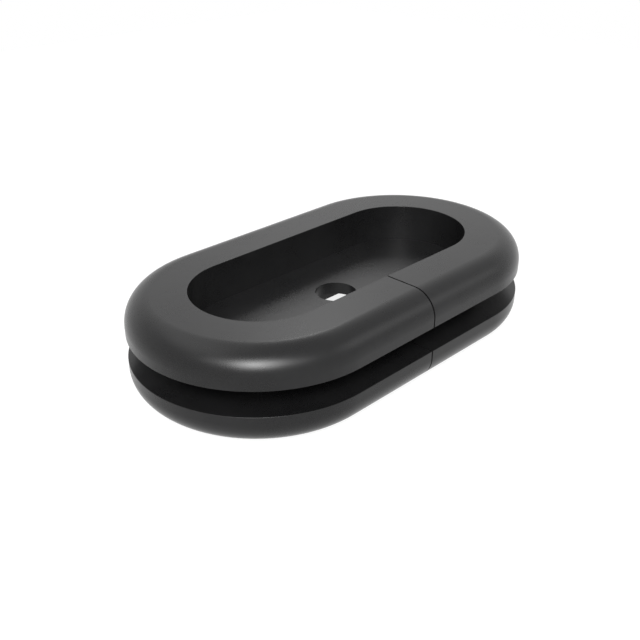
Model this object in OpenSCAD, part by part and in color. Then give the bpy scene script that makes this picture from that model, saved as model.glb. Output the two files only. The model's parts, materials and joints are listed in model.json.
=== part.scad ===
// Split oblong cable grommet, moulded as one piece in soft rubber.
// A groove round its waist grips the edge of an oblong panel cut-out. Each flange
// lies over one face of the panel. A membrane closes the well at mid height, round
// one cable hole. The rubber is slit from the outside to that hole on one long
// side, so that a finished cable can be laid in with its plug on.
// The frame: Z is up, the grommet rests on z = 0, its long axis lies along X, and
// the slit is on the -Y side.

/* [Panel cut-out] */
// Length of the oblong cut-out that the groove fits
cutout_length = 44; // [38:0.5:60]
// Width of the oblong cut-out, which is also the diameter of its round ends
cutout_width = 20; // [17:0.5:26]
// Thickness of the panel, which is the height of the groove
panel_thickness = 3; // [1.5:0.25:5]

/* [Flanges] */
// How far each flange reaches past the edge of the cut-out, all the way round
flange_overhang = 5; // [3.5:0.25:8]
// Thickness of each flange, from the panel to the flange's flat outer face
flange_thickness = 4; // [3.5:0.25:6]
// Radius of the rounded outer edge of each flange
flange_edge_radius = 3; // [1:0.25:3.25]

/* [Well and membrane] */
// Thickness of the wall between the groove and the well
wall_thickness = 2; // [1.25:0.25:3]
// Thickness of the membrane across the well
membrane_thickness = 1.5; // [0.75:0.25:2.5]
// Diameter of the cable hole in the middle of the membrane
cable_hole_diameter = 5; // [3:0.25:9]

/* [Slit] */
// Width of the slit as it stands open at rest
slit_width = 0.2; // [0.1:0.05:0.6]

/* [Hidden] */

$fn = 96;

// Both flanges are equal, with the panel between them
grommet_height = 2 * flange_thickness + panel_thickness;

// Every level of the grommet is an oblong round one middle line on the X axis
middle_line_length = cutout_length - cutout_width;

// Half widths of those oblongs, measured square to the middle line
groove_half_width = cutout_width / 2;
flange_half_width = groove_half_width + flange_overhang;
well_half_width = groove_half_width - wall_thickness;

// How far a cut runs past the face that it starts from
cut_margin = 1;

// Quarter disc that rounds a corner, in the quadrant below and right of its centre
module rounded_corner(radius) {
    intersection() {
        circle(r = radius);
        translate([0, -radius])
            square(radius);
    }
}

// Half section of the lower flange, from the middle line to its rounded outer edge
module flange_section() {
    flat_half_width = flange_half_width - flange_edge_radius;
    square([flat_half_width, flange_thickness]);
    translate([0, flange_edge_radius])
        square([flange_half_width, flange_thickness - flange_edge_radius]);
    translate([flat_half_width, flange_edge_radius])
        rounded_corner(flange_edge_radius);
}

// Half section of the solid blank: two flanges and the waist between them
module blank_section() {
    square([groove_half_width, grommet_height]);
    flange_section();
    translate([0, grommet_height])
        mirror([0, 1])
            flange_section();
}

// Half section of the two wells, above and below the membrane
module well_section() {
    well_depth = (grommet_height - membrane_thickness) / 2;
    for (floor_height = [-cut_margin, grommet_height - well_depth])
        translate([-cut_margin, floor_height])
            square([cut_margin + well_half_width, well_depth + cut_margin]);
}

// Half section of the moulding: x is the distance from the middle line, y is the height
module half_section() {
    difference() {
        blank_section();
        well_section();
    }
}

// Carries the half section round the middle line: a straight run along both long
// sides, and a half turn at each end
module oblong_moulding() {
    for (side = [0, 1])
        mirror([0, side, 0])
            translate([-middle_line_length / 2, 0, 0])
                rotate([90, 0, 90])
                    linear_extrude(height = middle_line_length)
                        half_section();
    for (end = [-1, 1])
        translate([end * middle_line_length / 2, 0, 0])
            rotate([0, 0, -90 * end])
                rotate_extrude(angle = 180)
                    half_section();
}

// Cable hole through the membrane
module cable_hole() {
    cylinder(h = grommet_height, d = cable_hole_diameter);
}

// Slit through the -Y side, over the full height, from the outside to the cable hole
module slit() {
    translate([-slit_width / 2, -flange_half_width - cut_margin, -cut_margin])
        cube([slit_width, flange_half_width + cut_margin, grommet_height + 2 * cut_margin]);
}

module grommet() {
    color("#2b2b2d")
        difference() {
            oblong_moulding();
            cable_hole();
            slit();
        }
}

grommet();
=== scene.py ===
# An oblong split rubber cable grommet, lying loose on a white bench top.
import json
from math import cos, pi, radians, sin, tan

import bmesh
import bpy
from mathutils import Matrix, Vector


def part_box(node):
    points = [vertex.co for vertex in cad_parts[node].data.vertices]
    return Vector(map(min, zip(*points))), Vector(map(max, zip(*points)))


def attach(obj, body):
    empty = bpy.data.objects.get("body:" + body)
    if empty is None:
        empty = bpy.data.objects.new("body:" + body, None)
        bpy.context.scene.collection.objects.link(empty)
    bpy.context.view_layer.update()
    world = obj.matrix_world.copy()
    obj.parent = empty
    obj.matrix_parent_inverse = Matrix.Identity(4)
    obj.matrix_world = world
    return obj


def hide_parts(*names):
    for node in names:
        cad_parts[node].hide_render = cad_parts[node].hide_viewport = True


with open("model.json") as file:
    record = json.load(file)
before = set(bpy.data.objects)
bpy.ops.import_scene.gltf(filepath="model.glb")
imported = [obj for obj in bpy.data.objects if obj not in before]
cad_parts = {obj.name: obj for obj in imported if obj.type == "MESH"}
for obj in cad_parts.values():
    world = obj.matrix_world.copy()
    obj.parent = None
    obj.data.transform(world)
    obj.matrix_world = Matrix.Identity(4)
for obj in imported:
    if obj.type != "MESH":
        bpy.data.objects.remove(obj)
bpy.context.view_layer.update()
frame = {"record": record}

# The rubber moulding: one piece of soft black rubber, pressed in a two-part mould, with two
# equal flanges, the waist that sits in the panel's cut-out, and a membrane across the well.
# After moulding, a knife slits one long side through to the cable hole.

MM = 0.001

_, far_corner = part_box("grommet")
half_length, half_width, height = far_corner
flange_overhang = 5 * MM
flange_thickness = 4 * MM
flange_edge_radius = 3 * MM
wall_thickness = 2 * MM
slit_width = 0.2 * MM

# The mould's crisp edges are just off sharp
rim_radius = 0.05 * MM

cable_hole = next(m for m in frame["record"]["mounts"] if m["name"] == "cable_hole")
hole_radius = cable_hole["dims"]["r_mm"] * MM
membrane_thickness = cable_hole["dims"]["length_mm"] * MM
membrane_top = cable_hole["pos_m"][2] + membrane_thickness / 2
membrane_bottom = membrane_top - membrane_thickness

# Every level is an oblong round one middle line on the X axis
middle_line_half = half_length - half_width
groove_distance = half_width - flange_overhang
well_distance = groove_distance - wall_thickness

# The membrane starts as a strip at the foot of the well's wall and a ring round the hole
foot_strip = 1 * MM
hole_ring = 0.5 * MM

end_steps = 72
side_steps = 16
edge_segments = 24
rim_segments = 4
same_place = 0.001 * MM
knife_tolerance = 0.0001 * MM


def outline_of(bm, corners, along_x):
    """One face in the plane x = along_x. A corner is (distance, height, radius, segments)."""
    verts = [bm.verts.new((along_x, -distance, level)) for distance, level, _, _ in corners]
    bm.faces.new(verts)
    for vert, (_, _, radius, segments) in zip(verts, corners):
        if radius:
            bmesh.ops.bevel(
                bm, geom=[vert], offset=radius, offset_type="OFFSET", segments=segments,
                profile=0.5, affect="VERTICES", material=-1,
            )


def open_outline(bm, seam_distance):
    """Takes the face away and its one edge on the seam, and returns the other edges."""
    bmesh.ops.delete(bm, geom=list(bm.faces), context="FACES_ONLY")
    on_seam = [
        e for e in bm.edges
        if all(abs(v.co.y + seam_distance) < knife_tolerance for v in e.verts)
    ]
    bmesh.ops.delete(bm, geom=on_seam, context="EDGES")
    return list(bm.edges)


def straight_run(bm, edges, distance):
    """Draws the outline along a straight side, and returns the edges at its end."""
    for _ in range(side_steps):
        new = bmesh.ops.extrude_edge_only(bm, edges=edges)["geom"]
        moved = [g for g in new if isinstance(g, bmesh.types.BMVert)]
        bmesh.ops.translate(bm, verts=moved, vec=(distance / side_steps, 0, 0))
        edges = [g for g in new if isinstance(g, bmesh.types.BMEdge)]
    return edges


def half_turn(bm, edges, centre_x):
    """Draws the outline round an end, and returns the edges where it stops."""
    verts = list({v for e in edges for v in e.verts})
    last = bmesh.ops.spin(
        bm, geom=verts + edges, cent=(centre_x, 0, 0), axis=(0, 0, 1),
        angle=pi, steps=end_steps,
    )["geom_last"]
    return [g for g in last if isinstance(g, bmesh.types.BMEdge)]


strip_seam = well_distance - foot_strip
moulding = bmesh.new()
outline_of(
    moulding,
    [
        (strip_seam, membrane_top, 0, 0),
        (well_distance, membrane_top, 0, 0),
        (well_distance, height, rim_radius, rim_segments),
        (half_width, height, flange_edge_radius, edge_segments),
        (half_width, height - flange_thickness, rim_radius, rim_segments),
        (groove_distance, height - flange_thickness, 0, 0),
        (groove_distance, flange_thickness, 0, 0),
        (half_width, flange_thickness, rim_radius, rim_segments),
        (half_width, 0, flange_edge_radius, edge_segments),
        (well_distance, 0, rim_radius, rim_segments),
        (well_distance, membrane_bottom, 0, 0),
        (strip_seam, membrane_bottom, 0, 0),
    ],
    -middle_line_half,
)
front = open_outline(moulding, strip_seam)
front = straight_run(moulding, front, 2 * middle_line_half)
front = half_turn(moulding, front, middle_line_half)
front = straight_run(moulding, front, -2 * middle_line_half)
half_turn(moulding, front, -middle_line_half)
bmesh.ops.remove_doubles(moulding, verts=moulding.verts, dist=same_place)

# The wall of the cable hole, with its ring of the membrane
ring_seam = hole_radius + hole_ring
hole = bmesh.new()
outline_of(
    hole,
    [
        (ring_seam, membrane_top, 0, 0),
        (hole_radius, membrane_top, 0, 0),
        (hole_radius, membrane_bottom, 0, 0),
        (ring_seam, membrane_bottom, 0, 0),
    ],
    0,
)
hole_edges = open_outline(hole, ring_seam)
bmesh.ops.spin(
    hole, geom=list(hole.verts) + hole_edges, cent=(0, 0, 0), axis=(0, 0, 1),
    angle=2 * pi, steps=2 * (end_steps + side_steps), use_merge=True,
)
hole_mesh = bpy.data.meshes.new("cable_hole_wall")
hole.to_mesh(hole_mesh)
hole.free()
moulding.from_mesh(hole_mesh)
bpy.data.meshes.remove(hole_mesh)

# The membrane's two faces join the ring to the strip
for level in (membrane_top, membrane_bottom):
    rims = [
        e for e in moulding.edges
        if e.is_boundary and all(abs(v.co.z - level) < same_place for v in e.verts)
    ]
    bmesh.ops.bridge_loops(moulding, edges=rims)

# The knife's cut, from the outside to the cable hole
for cut_x in (-slit_width / 2, slit_width / 2):
    near_side = [f for f in moulding.faces if f.calc_center_median().y < 0]
    cut_geometry = list({v for f in near_side for v in f.verts})
    cut_geometry += list({e for f in near_side for e in f.edges}) + near_side
    bmesh.ops.bisect_plane(
        moulding, geom=cut_geometry, dist=knife_tolerance,
        plane_co=(cut_x, 0, 0), plane_no=(1, 0, 0),
    )
in_slit = [
    f for f in moulding.faces
    if abs(f.calc_center_median().x) < slit_width / 2 and f.calc_center_median().y < 0
]
bmesh.ops.delete(moulding, geom=in_slit, context="FACES")
slit_rims = [e for e in moulding.edges if e.is_boundary]
bmesh.ops.holes_fill(moulding, edges=slit_rims, sides=0)
bmesh.ops.recalc_face_normals(moulding, faces=moulding.faces)

# Smooth all over, but for the square corners and the knife's sharp edges
sharpest_smooth_turn = radians(50)
for face in moulding.faces:
    face.smooth = True
for edge in moulding.edges:
    edge.smooth = edge.calc_face_angle(0) < sharpest_smooth_turn

mesh = bpy.data.meshes.new("grommet_moulding")
moulding.to_mesh(mesh)
moulding.free()
grommet = bpy.data.objects.new("grommet_moulding", mesh)
bpy.context.scene.collection.objects.link(grommet)
weighted = grommet.modifiers.new("weighted normals", "WEIGHTED_NORMAL")
weighted.mode = "FACE_AREA"
weighted.keep_sharp = True


class Socket:
    """A shader socket that Python's arithmetic turns into Math nodes."""

    def __init__(self, tree, link=None):
        self.tree = tree
        self.link = link

    def node(self, kind, settings, sockets, output=0):
        """A new node in the tree: its settings first, then the values or links of its sockets."""
        made = self.tree.nodes.new(kind)
        for name, value in settings.items():
            if name == "stops":
                for stop, (position, colour) in zip(made.color_ramp.elements, value):
                    stop.position = position
                    stop.color = colour
            else:
                setattr(made, name, value)
        for name, value in sockets.items():
            if isinstance(value, Socket):
                self.tree.links.new(value.link, made.inputs[name])
            else:
                made.inputs[name].default_value = value
        return Socket(self.tree, made.outputs[output])

    def maths(self, operation, first, second):
        return self.node("ShaderNodeMath", {"operation": operation}, {0: first, 1: second})

    def __add__(self, other):
        return self.maths("ADD", self, other)

    def __rsub__(self, other):
        return self.maths("SUBTRACT", other, self)

    def __mul__(self, other):
        return self.maths("MULTIPLY", self, other)

    __radd__ = __add__
    __rmul__ = __mul__


def moulded_rubber():
    """Near-black rubber: a satin skin, the mould's fine grain, a faint uneven bloom."""
    black = (0.0056, 0.0056, 0.0058, 1)
    bloomed_black = (0.0092, 0.0092, 0.0095, 1)
    specular_level = 0.26
    polished = 0.24
    bloom_dulls = 0.05
    grain_dulls = 0.03
    grain_relief = 0.35
    grain_height = 0.004 * MM
    waves_to_grain = 6

    material = bpy.data.materials.new("moulded_rubber")
    material.use_nodes = True
    tree = material.node_tree
    skin = tree.nodes["Principled BSDF"]
    skin.inputs["Specular IOR Level"].default_value = specular_level
    place = Socket(tree).node("ShaderNodeTexCoord", {}, {}, "Object")

    def mottle(per_metre, detail, fineness):
        sockets = {
            "Vector": place, "Scale": per_metre, "Detail": detail, "Roughness": fineness,
        }
        return place.node("ShaderNodeTexNoise", {}, sockets)

    # Bloom: clouds of wax from the rubber, some millimetres across, and finer specks
    clouds = mottle(per_metre=160, detail=3, fineness=0.55)
    specks = mottle(per_metre=900, detail=2, fineness=0.6)
    bloom = 0.7 * clouds + 0.3 * specks
    colour = place.node(
        "ShaderNodeValToRGB", {"stops": [(0.3, black), (0.7, bloomed_black)]}, {"Fac": bloom},
    )

    # Grain: the skin of a spark-eroded mould, about a tenth of a millimetre across,
    # on the slow waves that the rubber takes as it shrinks
    grain = mottle(per_metre=7000, detail=2, fineness=0.5)
    waves = mottle(per_metre=420, detail=1, fineness=0.5)
    roughness = polished + bloom_dulls * bloom + grain_dulls * grain
    relief = place.node(
        "ShaderNodeBump", {},
        {
            "Strength": grain_relief, "Distance": grain_height,
            "Height": grain + waves_to_grain * waves,
        },
    )
    for name, value in (("Base Color", colour), ("Roughness", roughness), ("Normal", relief)):
        tree.links.new(value.link, skin.inputs[name])
    return material


grommet.data.materials.append(moulded_rubber())
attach(grommet, "root")
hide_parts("grommet")

# The bench top: a plain white sheet on a light table, with the grommet's base face on it.
# The table's glow comes through the sheet, and only the grommet's shadow greys it.

sheet_half_side = 200 * MM
plain_white = (1, 1, 1, 1)

bench = bmesh.new()
bmesh.ops.create_grid(bench, x_segments=1, y_segments=1, size=sheet_half_side)
bench_mesh = bpy.data.meshes.new("bench_top")
bench.to_mesh(bench_mesh)
bench.free()
bench_top = bpy.data.objects.new("bench_top", bench_mesh)
bpy.context.scene.collection.objects.link(bench_top)


def seen_or_mirrored(tree):
    """1 for what is seen by itself, mirrored or through glass, 0 for what lights the grommet."""
    camera_ray, glossy_ray, through_ray = (
        Socket(tree).node("ShaderNodeLightPath", {}, {}, ray)
        for ray in ("Is Camera Ray", "Is Glossy Ray", "Is Transmission Ray")
    )
    return camera_ray + glossy_ray + through_ray


def white_sheet():
    """White paper for what lights the grommet, glowing paper for what is seen or mirrored."""
    paper_white = (0.8, 0.8, 0.8, 1)
    shadowed_share = (0.2, 0.2, 0.2, 1)
    glow_strength = 0.85

    material = bpy.data.materials.new("white_sheet")
    material.use_nodes = True
    tree = material.node_tree
    tree.nodes.remove(tree.nodes["Principled BSDF"])
    seen = seen_or_mirrored(tree)
    paper = seen.node("ShaderNodeBsdfDiffuse", {}, {"Color": paper_white})
    shadowed = seen.node("ShaderNodeBsdfDiffuse", {}, {"Color": shadowed_share})
    glow = seen.node(
        "ShaderNodeEmission", {}, {"Color": plain_white, "Strength": glow_strength},
    )
    glowing_paper = seen.node("ShaderNodeAddShader", {}, {0: shadowed, 1: glow})
    sheet = seen.node("ShaderNodeMixShader", {}, {0: seen, 1: paper, 2: glowing_paper})
    tree.links.new(sheet.link, tree.nodes["Material Output"].inputs["Surface"])
    return material


bench_mesh.materials.append(white_sheet())

# The studio light: softboxes round the bench, a metre away, in a white room.
# Their cloth is brightest in the middle and fades out towards its edge.

lamp_distance = 1


def fade_to_the_edge(softbox):
    """Dims the cloth from 1 in the middle to 0 at the rim of the ellipse."""
    cloth_middle = (0.5, 0.5, 0)

    softbox.use_nodes = True
    tree = softbox.node_tree
    across = Socket(tree).node("ShaderNodeNewGeometry", {}, {}, "Parametric")
    from_middle = 2 * across.node(
        "ShaderNodeVectorMath", {"operation": "DISTANCE"}, {0: across, 1: cloth_middle}, "Value",
    )
    fade = 1 - from_middle * from_middle
    tree.links.new((fade * fade).link, tree.nodes["Emission"].inputs["Color"])


softboxes = (
    # name, azimuth, elevation, half width and half height in degrees, watts
    ("key_box", -137, 40, 26, 24, 40.5),
    ("key_core", -141, 40, 11, 14, 8),
    ("key_left_box", -170, 40, 20, 16, 2.6),
    ("key_right_box", -104, 36, 20, 16, 2.6),
    ("back_lamp", 44.6, 36.5, 7, 7, 0.95),
    ("back_box", 45, 42, 35, 24, 1.4),
    ("rear_high_box", 122, 62, 44, 26, 6.5),
    ("right_box", -48, 28, 22, 18, 2),
)
for name, azimuth, elevation, half_wide, half_high, watts in softboxes:
    softbox = bpy.data.lights.new(name, "AREA")
    softbox.shape = "ELLIPSE"
    softbox.size = 2 * lamp_distance * tan(radians(half_wide))
    softbox.size_y = 2 * lamp_distance * tan(radians(half_high))
    softbox.energy = watts
    fade_to_the_edge(softbox)
    towards = Vector((
        cos(radians(elevation)) * cos(radians(azimuth)),
        cos(radians(elevation)) * sin(radians(azimuth)),
        sin(radians(elevation)),
    ))
    lamp = bpy.data.objects.new(name, softbox)
    lamp.location = towards * lamp_distance
    lamp.rotation_euler = towards.to_track_quat("Z", "Y").to_euler()
    bpy.context.scene.collection.objects.link(lamp)

# Beyond the lamps is a white room, which is seen and mirrored but hardly lights anything
room_light = 0.05
room_seen_as = 1

room = bpy.data.worlds.new("white_room")
room.use_nodes = True
room_tree = room.node_tree
seen = seen_or_mirrored(room_tree)
faint = seen.node("ShaderNodeBackground", {}, {"Color": plain_white, "Strength": room_light})
white = seen.node("ShaderNodeBackground", {}, {"Color": plain_white, "Strength": room_seen_as})
backdrop = seen.node("ShaderNodeMixShader", {}, {0: seen, 1: faint, 2: white})
room_tree.links.new(backdrop.link, room_tree.nodes["World Output"].inputs["Surface"])
bpy.context.scene.world = room

# The camera: it looks down on the grommet from the slit side, past its left end.
# Its frame is 640 pixels wide, and the focal length is in those pixels.

camera_azimuth = radians(-45.238)
camera_elevation = radians(28.145)
camera_place = Vector((-67.42, -64.17, 52.11)) * MM
sensor_width = 36
picture_width = 640
focal_length_in_pixels = 855.07

backward = Vector((
    sin(camera_azimuth) * cos(camera_elevation),
    -cos(camera_azimuth) * cos(camera_elevation),
    sin(camera_elevation),
))
lens = bpy.data.cameras.new("camera")
lens.sensor_width = sensor_width
lens.lens = focal_length_in_pixels * sensor_width / picture_width
lens.clip_start = 1 * MM
camera = bpy.data.objects.new("camera", lens)
camera.rotation_euler = backward.to_track_quat("Z", "Y").to_euler()
camera.location = camera_place
bpy.context.scene.collection.objects.link(camera)
bpy.context.scene.camera = camera
bpy.context.scene.view_settings.view_transform = "Standard"
